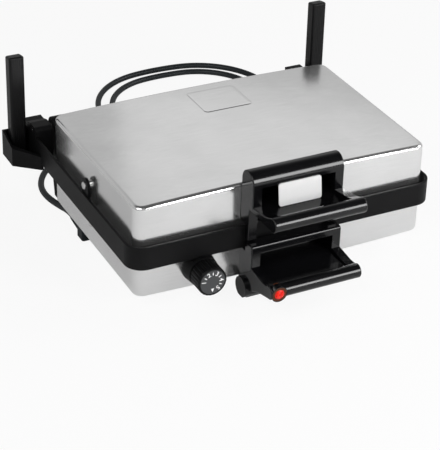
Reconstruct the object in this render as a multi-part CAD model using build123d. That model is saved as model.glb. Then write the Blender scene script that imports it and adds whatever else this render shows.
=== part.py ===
from build123d import *
import math
import os

# Contact grill with a lid that swings over by a half turn.
# Millimetres, +Z up. X is centred, Z = 0 is the table and +Y points to the rear, where the hinge is.

# Housings: two equal pressings, mouth to mouth
shell_width = 400.0
shell_depth = 265.0
shell_height = 61.5
shell_wall = 1.2
shell_crown = 3.5
shell_corner_radius = 13.0
shell_edge_radius = 5.0
seam_gap = 1.0
foot_clearance = 23.0

# Plain raised panel on the lid
panel_width = 70.0
panel_depth = 62.0
panel_x = 15.0
panel_from_front = 215.5
panel_height = 0.6
panel_corner_radius = 6.0

# Grill plates
plate_clearance = 0.8
plate_thickness = 9.0
plate_rim_width = 13.0
plate_recess = 4.0
plate_reveal = 0.25
rib_count = 23
rib_width = 6.5
rib_draft = 1.2
rib_top_drop = 0.3

# Heating elements, reflectors and pillars
element_diameter = 8.0
element_side_inset = 52.0
element_end_inset = 38.0
element_bend_radius = 26.0
element_inner_offset = 50.0
element_rear_inset = 8.0
element_strap_width = 8.0
element_strap_wall = 1.2
element_strap_clearance = 0.05
reflector_thickness = 0.8
reflector_inset = 14.0
reflector_lip = 7.0
reflector_drop = 16.0
pillar_radius = 5.0
pillar_shoulder_radius = 7.5
pillar_clearance = 0.1
pillar_inset_x = 34.0
pillar_inset_y = 30.0
pillar_seat = 4.0

# Lever frame: a band round the seam, open at the rear, with a pocket at each rear corner
band_gap = 7.0
band_wall = 3.0
band_low = 44.0
band_high = 75.0
pocket_reach = 31.0
pocket_low = 36.0
pocket_floor = 3.5
pocket_start = 18.0
pocket_flare = 26.0
pocket_front_top = 55.0
pocket_mid_top = 62.0
pocket_rear_top = 72.5
band_inner_corner_radius = 20.0
band_edge_radius = 0.8
lug_reach = 24.0
lug_front = 14.0
lug_front_round = 6.0
lug_top_wall = 3.0
lug_step = 20.0
lug_rear_top = 84.0
lug_swing_gap = 0.8

# Rear hinge
hinge_height = 104.5
hinge_setback = 50.0
hinge_pin_radius = 3.5
hinge_running_clearance = 0.05
bracket_inset = 17.0
bracket_width = 24.0
bracket_foot_length = 44.0
bracket_head_radius = 12.0
bracket_top = 56.0
bracket_bottom = 5.0
bracket_foot_front = 16.0
bracket_edge_radius = 1.5
bracket_screw_heights = (16.0, 44.0)
bracket_pin_margin = 4.0
hinge_pin_end_gap = 1.0
rear_setback = 81.0
rear_pad_length = 20.0
rear_pad_width = 18.0

# Screws
screw_radius = 2.0
screw_head_radius = 4.0
screw_head_thickness = 2.0
screw_grip = 10.0

# Posts that prop the open lid
post_width = 20.5
post_depth = 17.5
post_table_gap = 1.0
post_edge_radius = 3.0
post_tip_round = 2.4
post_side_gap = 4.5
post_rear_gap = 2.0

# Side pivots of the lid
pivot_from_front = 139.0
pivot_height = 87.0
pivot_radius = 3.0
pivot_ear_thickness = 3.5
pivot_ear_radius = 9.0
pivot_ear_inset = 16.0
pivot_clearance = 0.05
pivot_shoulder_radius = 5.5
pivot_head_radius = 5.0
pivot_head_thickness = 2.6
pivot_side_play = 0.3
pivot_nut_radius = 5.0
pivot_nut_thickness = 3.0
side_plug_height = 30.0
side_plug_radius = 4.0
side_plug_shank = 2.0
side_plug_head = 2.0

# Front handles
handle_half_width = 62.0
handle_cheek = 12.0
handle_edge_radius = 1.5
handle_edge_start = 12.0
handle_screw_inset = 6.0
hood_radius = 15.0
hood_wall = 3.5
hood_centre_height = 137.5
hood_lip_height = 134.0
upper_handle_low = 79.0
bar_radius = 9.5
bar_reach = 79.0
upper_bar_height = 112.0
tray_thickness = 3.5
tray_rear_height = 108.0
tray_knee_reach = 55.0
tray_knee_height = 105.0
cheek_step_height = 109.6
arm_knee_reach = 62.0
arm_knee_height = 115.0
heel_reach = 22.0
toe_reach = 20.0
toe_height = 59.0
toe_band_gap = 2.2
upper_screw_heights = (91.0, 114.0)
lower_bar_radius = 9.0
lower_bar_reach = 77.0
lower_bar_height = 18.5
lower_hood_top = 56.0
lower_hood_back = 13.8
lower_hood_front = 32.0
lower_hood_lip = 46.0
lower_hood_round = 3.0
lower_web_top = 42.0
lower_tray_height = 25.0
lower_step_height = 27.0
lower_knee_reach = 60.0
lower_knee_height = 24.0
lower_heel_reach = 50.0
lower_heel_height = 2.5
lower_screw_heights = (12.0, 34.0)
foot_roll_height = -9.5
foot_roll_radius = 13.5
foot_roll_half_width = 66.0
foot_pad_thickness = 1.5
foot_pad_seat = 1.0
front_pad_inset = 18.0
front_pad_length = 26.0
front_pad_width = 12.0

# White plate in the window of the upper handle
badge_width = 58.0
badge_thickness = 1.6
badge_corner_radius = 3.5
badge_foot_reach = 34.0
badge_lip_overlap = 1.5
badge_clearance = 0.2

# Indicator lamp in the lower grip bar
lamp_offset = 51.2
lamp_tilt = -4.0
lamp_boss_radius = 10.6
lamp_boss_length = 8.5
lamp_bezel_radius = 9.6
lamp_lens_radius = 6.4
lamp_lens_clearance = 0.1
lamp_lens_thickness = 2.5
lamp_pocket_depth = 11.0
lamp_bezel_floor = 2.0
lamp_dome_height = 2.5
lamp_bulb_radius = 2.8
lamp_bulb_length = 5.0

# Thermostat and knob
knob_offset = 118.0
knob_height = 27.0
knob_radius = 19.0
knob_rear_gap = 18.0
knob_face_reach = 41.0
knob_flutes = 24
knob_flute_radius = 1.6
dial_radius = 16.2
dial_recess = 1.0
dial_thickness = 0.9
collar_radius = 21.5
collar_front_radius = 19.5
collar_depth = 17.0
collar_band_gap = 1.7
collar_cut_reach = 13.0
collar_bore_gap = 2.0
knob_edge_radius = 1.2
knob_skirt_wall = 2.2
knob_hub_radius = 7.0
shaft_radius = 3.0
shaft_clearance = 0.05
shaft_seat = 10.0
shaft_flat = 0.8
thermostat_width = 34.0
thermostat_height = 18.0
thermostat_depth = 24.0

# Mains cord
cord_diameter = 8.5
coil_left = -35.0
coil_start = 490.0
coil_quarters = ((116, 44), (114, 0), (110, 40), (104, 0), (98, 40), (94, 0), (50, 0))
tail_length = 82.0
gland_x = -186.0
gland_from_front = 190.0
gland_width = 18.0
gland_length = 20.0
gland_low = 2.5
sleeve_length = 32.0
sleeve_axis_height = 10.0
sleeve_root_radius = 7.0
sleeve_tip_radius = 5.2
sleeve_grooves = 4
plug_radius = 19.5
plug_face_length = 12.0
plug_body_length = 46.0
plug_neck_radius = 6.5
plug_pin_radius = 2.4
plug_pin_length = 19.0
plug_pin_spacing = 19.0
plug_pin_seat = 8.0

# Places worked out from the sizes above
bar_front = bar_reach + bar_radius
total_depth = bar_front + shell_depth + rear_setback
front_y = bar_front - total_depth / 2
rear_y = front_y + shell_depth
half_width = shell_width / 2
under_z = foot_clearance
seam_z = under_z + shell_height
lid_z = seam_z + seam_gap
top_z = lid_z + shell_height
hinge_y = rear_y + hinge_setback
hinge_z = hinge_height
band_inner = half_width + band_gap
band_outer = band_inner + band_wall
pocket_outer = band_outer + pocket_reach
frame_rear_y = rear_y + rear_setback
pivot_y = front_y + pivot_from_front
pivot_z = under_z + pivot_height
side_plug_z = under_z + side_plug_height
bracket_inner = half_width - bracket_inset - bracket_width
bracket_outer = half_width - bracket_inset
lug_outer = band_outer
lug_inner = band_outer - lug_reach
gland_y = front_y + gland_from_front
knob_z = under_z + knob_height
post_x = band_outer + post_side_gap + post_width / 2
post_y = frame_rear_y - band_wall - post_rear_gap - post_depth / 2
post_tip_radius = hinge_z - post_table_gap
lower_plate_top = seam_z + plate_reveal
upper_plate_low = lid_z - plate_reveal
lower_plate_under = lower_plate_top - plate_thickness
upper_plate_over = upper_plate_low + plate_thickness


def out(reach, height):
    """A point in the side view: reach in front of the housings, height above their underside."""
    return (front_y - reach, under_z + height)


def side_solid(face, x_low, x_high):
    """A side-view face in Y and Z, carried along X from x_low to x_high."""
    plane = Plane(origin=(x_low, 0, 0), x_dir=(0, 1, 0), z_dir=(1, 0, 0))
    return extrude(plane * face, x_high - x_low)


def block(x_low, x_high, y_low, y_high, z_low, z_high):
    """A plain block between two corners."""
    centre = ((x_low + x_high) / 2, (y_low + y_high) / 2, (z_low + z_high) / 2)
    return Pos(*centre) * Box(x_high - x_low, y_high - y_low, z_high - z_low)


def rod(start, direction, radius, length):
    """A round rod from a start point along a direction."""
    return extrude(Plane(origin=start, z_dir=direction) * Circle(radius), length)


def mirror_x(shape):
    """The same piece on the other side of the middle plane."""
    return mirror(shape, about=Plane.YZ)


def turn_over(shape):
    """The same piece upside down, mirrored in the plane half way up the seam."""
    middle = Plane(origin=(0, 0, (seam_z + lid_z) / 2), z_dir=(0, 0, 1))
    return mirror(shape, about=middle)


# Housings
def arched_block(inset, edge_radius):
    """A block with an arched underside and rounded corners, set in from the housing by inset."""
    half = half_width - inset
    low = under_z + inset
    side = Polyline((-half, low), (-half, seam_z), (half, seam_z), (half, low))
    arch = ThreePointArc((half, low), (0, low - shell_crown), (-half, low))
    plane = Plane(origin=(0, rear_y - inset, 0), x_dir=(1, 0, 0), z_dir=(0, -1, 0))
    body = extrude(plane * make_face([side, arch]), shell_depth - 2 * inset)
    upright = body.edges().filter_by(Axis.Z)
    body = fillet(upright, shell_corner_radius - inset)
    rim = body.faces().sort_by(Axis.Z)[0].edges()
    return fillet(rim, edge_radius)


def housing_room():
    """The space inside a lower housing."""
    return arched_block(shell_wall, shell_edge_radius - shell_wall)


def housing():
    """The lower housing: a pressed tray with an arched floor, open at the seam."""
    return arched_block(0, shell_edge_radius) - housing_room()


def base_shell():
    body = housing()
    for side in (-1, 1):
        body -= rod((side * (half_width - 4), pivot_y, side_plug_z), (side, 0, 0), side_plug_shank, 8)
    body -= rod((-knob_offset, front_y - 2, knob_z), (0, 1, 0), shaft_radius + collar_bore_gap, 6)
    body -= rod((gland_x, gland_y, under_z - shell_crown - 2), (0, 0, 1), cord_diameter / 2, 12)
    return body - screw_shanks(lower_handle_screw_places(), 1) - screw_shanks(bracket_screw_places(), -1)


def lid_shell():
    """The upper housing: the same pressing turned over, with a plain raised panel."""
    panel_plane = Plane(origin=(panel_x, front_y + panel_from_front, under_z - 10))
    panel = extrude(panel_plane * RectangleRounded(panel_width, panel_depth, panel_corner_radius), 20)
    panel = (panel & arched_block(-panel_height, shell_edge_radius)) - housing_room()
    body = turn_over(housing() + panel)
    for side in (-1, 1):
        hole_start = (side * (half_width - 4), pivot_y, pivot_z)
        body -= rod(hole_start, (side, 0, 0), pivot_radius, 8)
    return body - screw_shanks(upper_handle_screw_places(), 1)


# Grill plates
def grill_plate():
    """Cast plate of the base: a flat rim round a recess that ribs fill, seen from above."""
    width = shell_width - 2 * (shell_wall + plate_clearance)
    depth = shell_depth - 2 * (shell_wall + plate_clearance)
    corner = shell_corner_radius - shell_wall - plate_clearance
    centre_y = front_y + shell_depth / 2
    floor = Plane(origin=(0, centre_y, lower_plate_under))
    body = extrude(floor * RectangleRounded(width, depth, corner), plate_thickness)
    recess_floor = Plane(origin=(0, centre_y, lower_plate_top - plate_recess))
    recess_width = width - 2 * plate_rim_width
    recess_depth = depth - 2 * plate_rim_width
    body -= extrude(recess_floor * RectangleRounded(recess_width, recess_depth, corner), plate_recess)
    pitch = recess_width / (rib_count + 1)
    rib_length = recess_depth - 2 * pitch / 2
    rib_height = plate_recess - rib_top_drop
    half = rib_width / 2
    section = Polyline((-half, 0), (-half + rib_draft, rib_height), (half - rib_draft, rib_height),
                       (half, 0), close=True)
    rib_plane = Plane(origin=(0, centre_y + rib_length / 2, lower_plate_top - plate_recess),
                      x_dir=(1, 0, 0), z_dir=(0, -1, 0))
    rib = extrude(rib_plane * make_face(section), rib_length)
    for index in range(rib_count):
        body += Pos((index - (rib_count - 1) / 2) * pitch, 0, 0) * rib
    for x, y in pillar_places():
        body -= rod((x, y, lower_plate_under), (0, 0, 1), pillar_radius + 0.1, pillar_seat)
    return body


def pillar_places():
    """The four pillars that carry each grill plate."""
    places = []
    for x in (-1, 1):
        for y in (front_y + pillar_inset_y, rear_y - pillar_inset_y):
            places.append((x * (half_width - pillar_inset_x), y))
    return places


def pillars():
    """Stepped pillars from the floor of the base to their seats in the plate."""
    floor_z = under_z - shell_crown
    shelf_z = lower_plate_under - reflector_drop
    top = lower_plate_under + pillar_seat
    body = []
    for x, y in pillar_places():
        pillar = rod((x, y, floor_z), (0, 0, 1), pillar_shoulder_radius, shelf_z - floor_z)
        pillar += rod((x, y, shelf_z), (0, 0, 1), pillar_radius, top - shelf_z)
        body.append((pillar & housing_room_column(x, y)))
    return body


def housing_room_column(x, y):
    """The part of the room in the base that stands round one pillar, run on upwards to the seam."""
    half = pillar_shoulder_radius + 1
    return housing_room() & block(x - half, x + half, y - half, y + half, 0, top_z)


def reflector():
    """Folded tray under the heating element, resting on the pillars' shoulders."""
    low = lower_plate_under - reflector_drop
    half = half_width - reflector_inset
    y_low = front_y + reflector_inset
    y_high = rear_y - reflector_inset
    wall = reflector_thickness
    body = block(-half, half, y_low, y_high, low, low + reflector_lip)
    body -= block(-half + wall, half - wall, y_low + wall, y_high - wall, low + wall, low + reflector_lip)
    for x, y in pillar_places():
        body -= rod((x, y, low - 1), (0, 0, 1), pillar_radius + pillar_clearance, wall + 2)
    return body


def element_route():
    """The element's centre line: a W with its two ends at the rear."""
    side = half_width - element_side_inset
    inner = element_inner_offset
    front = front_y + element_end_inset
    rear = rear_y - element_end_inset
    end = rear_y - element_rear_inset
    z = lower_plate_under - element_diameter / 2
    left = [(-side, end, z), (-side, front, z), (-inner, front, z), (-inner, rear, z)]
    return left + [(-x, y, z) for x, y, z in reversed(left)]


def element():
    """Bent tubular heating element pressed against the underside of the plate."""
    route = FilletPolyline(element_route(), radius=element_bend_radius)
    start = Plane(origin=route @ 0, z_dir=route % 0)
    return sweep(start * Circle(element_diameter / 2), path=route)


def element_straps():
    """Straps that hold the long runs of the element to the plate."""
    reach = element_diameter / 2 + element_strap_wall
    z = lower_plate_under - element_diameter / 2
    y = front_y + shell_depth / 2
    bore = element_diameter / 2 + element_strap_clearance
    straps = []
    for x in (-half_width + element_side_inset, -element_inner_offset, element_inner_offset,
              half_width - element_side_inset):
        half = element_strap_width / 2
        strap = block(x - reach, x + reach, y - half, y + half, z - reach, lower_plate_under)
        upright = strap.edges().filter_by(Axis.Y).sort_by(Axis.Z)[:2]
        strap = chamfer(upright, element_strap_wall)
        straps.append(strap - rod((x, y - half - 1, z), (0, 1, 0), bore, element_strap_width + 2))
    return straps


# Screws
def screw_shanks(places, direction):
    """The shanks of screws that start inside a wall, one fused shape to cut from what they hold."""
    shanks = [rod((x, y, z), (0, -direction, 0), screw_radius, screw_grip) for x, y, z in places]
    return shanks[0] + shanks[1:]


def pan_screws(places, direction):
    """Pan-headed screws, each with its head inside the wall."""
    screws = []
    for x, y, z in places:
        head = rod((x, y, z), (0, direction, 0), screw_head_radius, screw_head_thickness)
        head = chamfer(head.edges().sort_by(Axis.Y)[-1 if direction > 0 else 0], screw_head_thickness / 3)
        screws.append(head + rod((x, y, z), (0, -direction, 0), screw_radius, screw_grip))
    return screws


def handle_screw_places(heights):
    """Places of the screws that go from inside a housing's front wall into a handle's cheeks."""
    x = handle_half_width - handle_screw_inset
    return [(side * x, front_y + shell_wall, under_z + height) for side in (-1, 1) for height in heights]


def upper_handle_screw_places():
    return handle_screw_places(upper_screw_heights)


def lower_handle_screw_places():
    return handle_screw_places(lower_screw_heights)


def bracket_screw_places():
    x = (bracket_inner + bracket_outer) / 2
    return [(side * x, rear_y - shell_wall, under_z + height) for side in (-1, 1)
            for height in bracket_screw_heights]


# Front handles
def cheeks(face):
    """Both end walls of a handle, with softened outer outlines."""
    inner = handle_half_width - handle_cheek
    wall = side_solid(face, inner, handle_half_width)
    outline = wall.faces().sort_by(Axis.X)[-1].edges().filter_by(stands_clear)
    wall = fillet(outline, handle_edge_radius)
    return wall + mirror_x(wall)


def stands_clear(edge):
    """True for an edge whose middle lies well in front of the housing's wall."""
    return edge.center().Y < front_y - handle_edge_start


def upper_handle():
    """Moulded handle of the lid: a rolled hood above a tray that ends in a round grip bar."""
    bar = out(bar_reach, upper_bar_height)
    hood = out(hood_radius, hood_centre_height)
    bar_top = out(bar_reach, upper_bar_height + bar_radius)
    slant = bar_radius * math.sqrt(0.5)
    bar_shoulder = out(bar_reach - slant, upper_bar_height + slant)
    bar_bottom = out(bar_reach, upper_bar_height - bar_radius)
    bar_tip = out(bar_reach + bar_radius, upper_bar_height)
    heel_height = upper_bar_height - bar_radius
    heel = out(heel_reach, heel_height)
    toe_back = band_gap + band_wall + toe_band_gap
    outline = [
        Line(out(0, upper_handle_low), out(0, hood_centre_height)),
        ThreePointArc(out(0, hood_centre_height), (hood[0], hood[1] + hood_radius),
                      out(2 * hood_radius, hood_centre_height)),
        Line(out(2 * hood_radius, hood_centre_height), out(2 * hood_radius, cheek_step_height)),
        Line(out(2 * hood_radius, cheek_step_height), out(arm_knee_reach, arm_knee_height)),
        Line(out(arm_knee_reach, arm_knee_height), bar_shoulder),
        ThreePointArc(bar_shoulder, bar_top, bar_tip),
        ThreePointArc(bar_tip, out(bar_reach + slant, upper_bar_height - slant), bar_bottom),
        Line(bar_bottom, heel),
        Line(heel, out(toe_reach, toe_height)),
        Line(out(toe_reach, toe_height), out(toe_back, toe_height)),
        Line(out(toe_back, toe_height), out(toe_back, upper_handle_low)),
        Line(out(toe_back, upper_handle_low), out(0, upper_handle_low)),
    ]
    body = cheeks(make_face(outline))
    inner = hood_radius - hood_wall
    wall = hood_wall
    low = out(0, tray_rear_height - tray_thickness)
    lip_reach = 2 * hood_radius
    roll = [
        Line(low, out(0, hood_centre_height)),
        ThreePointArc(out(0, hood_centre_height), (hood[0], hood[1] + hood_radius),
                      out(lip_reach, hood_centre_height)),
        Line(out(lip_reach, hood_centre_height), out(lip_reach, hood_lip_height)),
        Line(out(lip_reach, hood_lip_height), out(lip_reach - wall, hood_lip_height)),
        Line(out(lip_reach - wall, hood_lip_height), out(lip_reach - wall, hood_centre_height)),
        ThreePointArc(out(lip_reach - wall, hood_centre_height), (hood[0], hood[1] + inner),
                      out(wall, hood_centre_height)),
        Line(out(wall, hood_centre_height), out(wall, tray_rear_height - tray_thickness)),
        Line(out(wall, tray_rear_height - tray_thickness), low),
    ]
    reach = handle_half_width - handle_cheek
    body += side_solid(make_face(roll), -reach, reach)
    body += side_solid(tray_face(tray_rear_height, tray_knee_reach, tray_knee_height,
                                 bar_reach, upper_bar_height), -reach, reach)
    body += rod((-reach, *bar), (1, 0, 0), bar_radius, 2 * reach)
    return body - screw_shanks(upper_handle_screw_places(), 1)


def tray_face(rear_height, knee_reach, knee_height, grip_reach, grip_height):
    """Side view of a tray floor that runs out from the wall and turns up into the grip bar."""
    drop = tray_thickness
    return make_face(Polyline(
        out(0, rear_height), out(knee_reach, knee_height), out(grip_reach, grip_height + drop),
        out(grip_reach, grip_height - drop), out(knee_reach + drop, knee_height - drop),
        out(0, rear_height - drop), close=True))


def lower_handle():
    """Moulded handle of the base, with a hood that reaches over the band and a roll for a front foot."""
    bar = out(lower_bar_reach, lower_bar_height)
    slant = lower_bar_radius * math.sqrt(0.5)
    bar_shoulder = out(lower_bar_reach - slant, lower_bar_height + slant)
    bar_top = out(lower_bar_reach, lower_bar_height + lower_bar_radius)
    bar_tip = out(lower_bar_reach + lower_bar_radius, lower_bar_height)
    bar_low = out(lower_bar_reach + slant, lower_bar_height - slant)
    bar_bottom = out(lower_bar_reach, lower_bar_height - lower_bar_radius)
    hood_turn = lower_hood_round * (1 - math.sqrt(0.5))
    outline = [
        Line(out(0, foot_roll_height), out(0, lower_web_top)),
        Line(out(0, lower_web_top), out(lower_hood_back, lower_web_top)),
        Line(out(lower_hood_back, lower_web_top), out(lower_hood_back, lower_hood_top)),
        Line(out(lower_hood_back, lower_hood_top), out(lower_hood_front - lower_hood_round, lower_hood_top)),
        ThreePointArc(out(lower_hood_front - lower_hood_round, lower_hood_top),
                      out(lower_hood_front - hood_turn, lower_hood_top - hood_turn),
                      out(lower_hood_front, lower_hood_top - lower_hood_round)),
        Line(out(lower_hood_front, lower_hood_top - lower_hood_round), out(lower_hood_front, lower_step_height)),
        Line(out(lower_hood_front, lower_step_height), out(lower_knee_reach, lower_knee_height)),
        Line(out(lower_knee_reach, lower_knee_height), bar_shoulder),
        ThreePointArc(bar_shoulder, bar_top, bar_tip),
        ThreePointArc(bar_tip, bar_low, bar_bottom),
        Line(bar_bottom, out(lower_heel_reach, lower_heel_height)),
        Line(out(lower_heel_reach, lower_heel_height), out(2 * foot_roll_radius - 1, foot_roll_height)),
        Line(out(2 * foot_roll_radius - 1, foot_roll_height), out(0, foot_roll_height)),
    ]
    body = cheeks(make_face(outline))
    reach = handle_half_width - handle_cheek
    wall = hood_wall
    back = lower_hood_back
    front = lower_hood_front
    turn_start = out(front - lower_hood_round, lower_hood_top)
    turn_middle = out(front - hood_turn, lower_hood_top - hood_turn)
    turn_end = out(front, lower_hood_top - lower_hood_round)
    hood = [
        Polyline(out(0, lower_web_top), out(back, lower_web_top), out(back, lower_hood_top), turn_start),
        ThreePointArc(turn_start, turn_middle, turn_end),
        Polyline(turn_end, out(front, lower_hood_lip), out(front - wall, lower_hood_lip),
                 out(front - wall, lower_hood_top - wall), out(back + wall, lower_hood_top - wall),
                 out(back + wall, lower_web_top - wall), out(wall, lower_web_top - wall),
                 out(wall, foot_roll_height), out(0, foot_roll_height), out(0, lower_web_top)),
    ]
    body += side_solid(make_face(hood), -reach, reach)
    grip = side_solid(tray_face(lower_tray_height, lower_knee_reach - 4, lower_tray_height - 3,
                                lower_bar_reach, lower_bar_height), -reach, reach)
    body += grip + rod((-reach, *bar), (1, 0, 0), lower_bar_radius, 2 * reach)
    roll = out(foot_roll_radius, foot_roll_height)
    body += rod((-foot_roll_half_width, *roll), (1, 0, 0), foot_roll_radius, 2 * foot_roll_half_width)
    body += lamp_rod(lamp_boss_radius, 0, lamp_boss_length)
    body -= lamp_rod(lamp_bezel_radius, lamp_boss_length - lamp_pocket_depth, lamp_pocket_depth + lamp_dome_height)
    body -= block(-half_width, half_width, front_y - 2 * bar_reach, front_y, -5, foot_pad_seat)
    for pad in front_foot_pads():
        body -= pad
    return body - screw_shanks(lower_handle_screw_places(), 1)


def front_foot_pads():
    """Rubber pads let into the underside of the front roll."""
    y = front_y - foot_roll_radius
    pads = []
    for side in (-1, 1):
        x = side * (foot_roll_half_width - front_pad_inset)
        pad = block(x - front_pad_length / 2, x + front_pad_length / 2, y - front_pad_width / 2,
                    y + front_pad_width / 2, 0, foot_pad_seat + foot_pad_thickness)
        pads.append(fillet(pad.edges().filter_by(Axis.Z), 2))
    return pads


def badge_plate():
    """Plain plate that leans from the tray floor against the hood's front lip."""
    slope = (tray_rear_height - tray_knee_height) / tray_knee_reach
    foot_height = tray_rear_height - slope * badge_foot_reach + badge_clearance
    foot = out(badge_foot_reach, foot_height)
    head = out(2 * hood_radius + badge_clearance, hood_lip_height + badge_lip_overlap)
    height = math.dist(foot, head)
    rise = ((head[0] - foot[0]) / height, (head[1] - foot[1]) / height)
    plane = Plane(origin=(0, *foot), x_dir=(1, 0, 0), z_dir=(0, -rise[1], rise[0]))
    face = Pos(0, height / 2) * RectangleRounded(badge_width, height, badge_corner_radius)
    return extrude(plane * face, badge_thickness)


# Indicator lamp
def lamp_axis():
    """Direction in which the lamp looks out of the grip bar."""
    tilt = math.radians(lamp_tilt)
    return (0, -math.cos(tilt), math.sin(tilt))


def lamp_plane(depth):
    """Plane across the lamp's axis at a distance in front of the grip bar's middle."""
    axis = lamp_axis()
    y, z = out(lower_bar_reach, lower_bar_height)
    return Plane(origin=(-lamp_offset, y + depth * axis[1], z + depth * axis[2]), z_dir=axis)


def lamp_rod(radius, start, length):
    """A round rod on the lamp's axis."""
    return extrude(lamp_plane(start) * Circle(radius), length)


def lamp_bezel():
    back = lamp_boss_length - lamp_pocket_depth
    body = lamp_rod(lamp_bezel_radius, back, lamp_pocket_depth)
    return body - lamp_rod(lamp_lens_radius + lamp_lens_clearance, back + lamp_bezel_floor, lamp_pocket_depth)


def lamp_lens():
    """Domed lens: a short disc under a shallow cap of a sphere."""
    radius = lamp_lens_radius
    rise = lamp_dome_height
    ball_radius = (radius ** 2 + rise ** 2) / (2 * rise)
    back = lamp_boss_length - lamp_lens_thickness
    centre = lamp_boss_length + rise - ball_radius
    ball = lamp_plane(centre).location * Sphere(ball_radius)
    return lamp_rod(radius, back, lamp_lens_thickness + rise) & ball


def indicator_lamp():
    """Small neon bulb behind the lens."""
    start = lamp_boss_length - lamp_pocket_depth + lamp_bezel_floor
    body = lamp_rod(lamp_bulb_radius, start, lamp_bulb_length)
    tip = body.faces().sort_by(Axis.Y)[0].edges()
    return fillet(tip, lamp_bulb_radius * 0.6)


# Thermostat and knob
def knob_rod(radius, reach_low, reach_high):
    """A round rod on the knob's axis between two reaches in front of the housing."""
    start = (-knob_offset, front_y - reach_low, knob_z)
    return rod(start, (0, -1, 0), radius, reach_high - reach_low)


def knob_collar():
    """Tapered collar behind the knob, cut flat where the band passes over it."""
    start = Plane(origin=(-knob_offset, front_y, knob_z), z_dir=(0, -1, 0))
    end = Plane(origin=(-knob_offset, front_y - collar_depth, knob_z), z_dir=(0, -1, 0))
    body = loft([start * Circle(collar_radius), end * Circle(collar_front_radius)], ruled=True)
    x = -knob_offset
    flat_z = under_z + band_low - collar_band_gap
    body -= block(x - 2 * collar_radius, x + 2 * collar_radius, front_y - collar_cut_reach, front_y + 1,
                  flat_z, flat_z + collar_radius)
    return body - knob_rod(shaft_radius + collar_bore_gap, -1, collar_depth + 1)


def thermostat_shaft():
    """Spindle of the thermostat, with a flat that drives the knob."""
    tip = knob_rear_gap + shaft_seat
    body = knob_rod(shaft_radius, -shell_wall - shaft_seat, tip)
    x = -knob_offset
    flat = knob_z + shaft_radius - shaft_flat
    return body - block(x - 5, x + 5, front_y - tip - 1, front_y - knob_rear_gap, flat, knob_z + 5)


def thermostat():
    """Switch block behind the front wall that the spindle turns in."""
    x = -knob_offset
    y = front_y + shell_wall
    half = thermostat_width / 2
    tall = thermostat_height / 2
    body = block(x - half, x + half, y, y + thermostat_depth, knob_z - tall, knob_z + tall)
    body = fillet(body.edges().filter_by(Axis.Y), 2)
    bore = knob_rod(shaft_radius + shaft_clearance, -shell_wall - shaft_seat - 1, 0)
    return body - bore


def thermostat_knob():
    """Fluted cup-shaped knob with a hub on the spindle and a recess for the dial."""
    body = knob_rod(knob_radius, knob_rear_gap, knob_face_reach)
    rims = body.edges().filter_by(GeomType.CIRCLE)
    body = chamfer(rims, knob_edge_radius)
    body -= knob_rod(knob_radius - knob_skirt_wall - knob_flute_radius, knob_rear_gap - 1,
                     knob_face_reach - dial_recess - knob_skirt_wall)
    body += knob_rod(knob_hub_radius, knob_rear_gap, knob_face_reach - dial_recess)
    body -= thermostat_shaft()
    body -= knob_rod(dial_radius, knob_face_reach - dial_recess, knob_face_reach + 1)
    for index in range(knob_flutes):
        angle = 2 * math.pi * index / knob_flutes
        reach = knob_radius + knob_flute_radius / 2
        x = -knob_offset + reach * math.sin(angle)
        z = knob_z + reach * math.cos(angle)
        start = (x, front_y - knob_rear_gap + 1, z)
        body -= rod(start, (0, -1, 0), knob_flute_radius, knob_face_reach - knob_rear_gap + 2)
    return body


def knob_dial():
    """Thin printed disc let into the face of the knob."""
    back = knob_face_reach - dial_recess
    return knob_rod(dial_radius, back, back + dial_thickness)


# Lever frame
def band():
    """Band round the front and sides of the seam, open at the rear."""
    low = under_z + band_low
    height = band_high - band_low
    outer_corner = band_inner_corner_radius + band_wall
    y_front = front_y - band_gap - band_wall
    outer = block(-band_outer, band_outer, y_front, frame_rear_y, low, low + height)
    outer = fillet(front_uprights(outer), outer_corner)
    outer = fillet(outer.faces().sort_by(Axis.Z)[-1].edges().filter_by(is_outer_edge), band_edge_radius)
    outer = fillet(outer.faces().sort_by(Axis.Z)[0].edges().filter_by(is_outer_edge), band_edge_radius)
    inner = block(-band_inner, band_inner, front_y - band_gap, frame_rear_y + 1, low - 1, low + height + 1)
    return outer - fillet(front_uprights(inner), band_inner_corner_radius)


def front_uprights(shape):
    return shape.edges().filter_by(Axis.Z).sort_by(Axis.Y)[:2]


def is_outer_edge(edge):
    """True for every edge but the one along the rear."""
    return edge.center().Y < frame_rear_y - 1


def pocket_plan(inset):
    """Plan of the right-hand pocket beside the band, set in by a wall."""
    start = rear_y + pocket_start
    turn = start + pocket_flare
    cut = inset / math.sqrt(2)
    outer = pocket_outer - inset
    first = start + 2 * cut
    if inset:
        inner_edge = band_outer
        return Polyline((inner_edge, first), (outer, first + outer - inner_edge),
                        (outer, frame_rear_y - inset), (inner_edge, frame_rear_y - inset), close=True)
    return Polyline((band_outer, start), (pocket_outer, turn), (pocket_outer, frame_rear_y),
                    (band_outer, frame_rear_y), close=True)


def pocket():
    """Open-topped pocket at one rear corner, whose rim climbs towards the rear."""
    low = under_z + pocket_low
    tall = pocket_rear_top - pocket_low
    body = extrude(Plane(origin=(0, 0, low)) * make_face(pocket_plan(0)), tall)
    room = Plane(origin=(0, 0, low + pocket_floor))
    body -= extrude(room * make_face(pocket_plan(band_wall)), tall)
    rim = Polyline(
        (rear_y, under_z + pocket_front_top), (rear_y + pocket_start, under_z + pocket_front_top),
        (rear_y + pocket_start + pocket_flare, under_z + pocket_mid_top),
        (frame_rear_y - band_wall, under_z + pocket_rear_top), (frame_rear_y, under_z + pocket_rear_top),
        (frame_rear_y, top_z), (rear_y, top_z), close=True)
    return body - side_solid(make_face(rim), band_outer - 1, pocket_outer + 1)


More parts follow.
